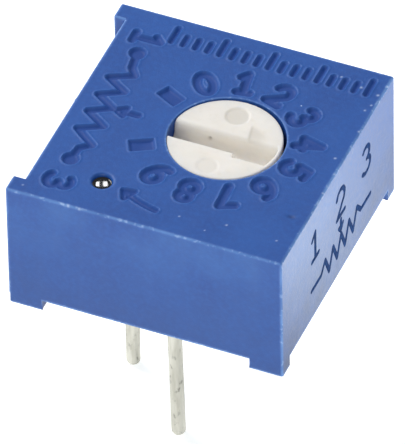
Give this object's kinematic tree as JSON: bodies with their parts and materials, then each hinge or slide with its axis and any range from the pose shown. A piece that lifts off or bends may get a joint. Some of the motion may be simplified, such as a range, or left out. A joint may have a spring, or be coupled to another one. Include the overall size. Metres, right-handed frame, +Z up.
{
  "type": "trimmer potentiometer",
  "caption": "Square blue single-turn trimmer potentiometer with a slotted white rotor in its top face and wire pins in a triangle under it, for a printed circuit board.",
  "frame": {"origin": "middle of the body's square outline, on the plane of its four feet, where it seats on the board", "axes": "+X from the side with the corner posts towards the rotor's pointer, +Z up out of the top face, away from the board"},
  "size_m": [0.0096, 0.0096, 0.011],
  "materials": {
    "blue_moulding": "satin, faint moulding grain",
    "white_moulding": "satin, warm white",
    "seal_rubber": "smooth",
    "wiper_alloy": "bright stamped sheet",
    "alumina": "fired, matt",
    "cermet_film": "fired film, matt",
    "conductor_film": "fired silver-palladium film",
    "tinned_wire": "dipped tin, slightly uneven",
    "solder": "bright",
    "black_resin": "glossy cured resin"
  },
  "bodies": {
    "fixed_body": {"housing": "blue_moulding", "ceramic_substrate": "alumina", "resistive_track": "cermet_film", "end_conductor_1": "conductor_film", "end_conductor_3": "conductor_film", "wiper_collector": "conductor_film", "terminal_pin_1": "tinned_wire", "terminal_pin_2": "tinned_wire", "terminal_pin_3": "tinned_wire", "solder_joint_1": "solder", "solder_joint_2": "solder", "solder_joint_3": "solder", "potting_resin": "black_resin"},
    "rotor_body": {"rotor": "white_moulding", "rotor_o_ring": "seal_rubber", "wiper_spring": "wiper_alloy"}
  },
  "joints": [
    {"name": "rotor_turn", "type": "hinge", "parent": "fixed_body", "child": "rotor_body", "pos_m": [0.00085, 0, 0.0049], "axis": [0, 0, 1], "range_deg": [-155, 155]}
  ]
}
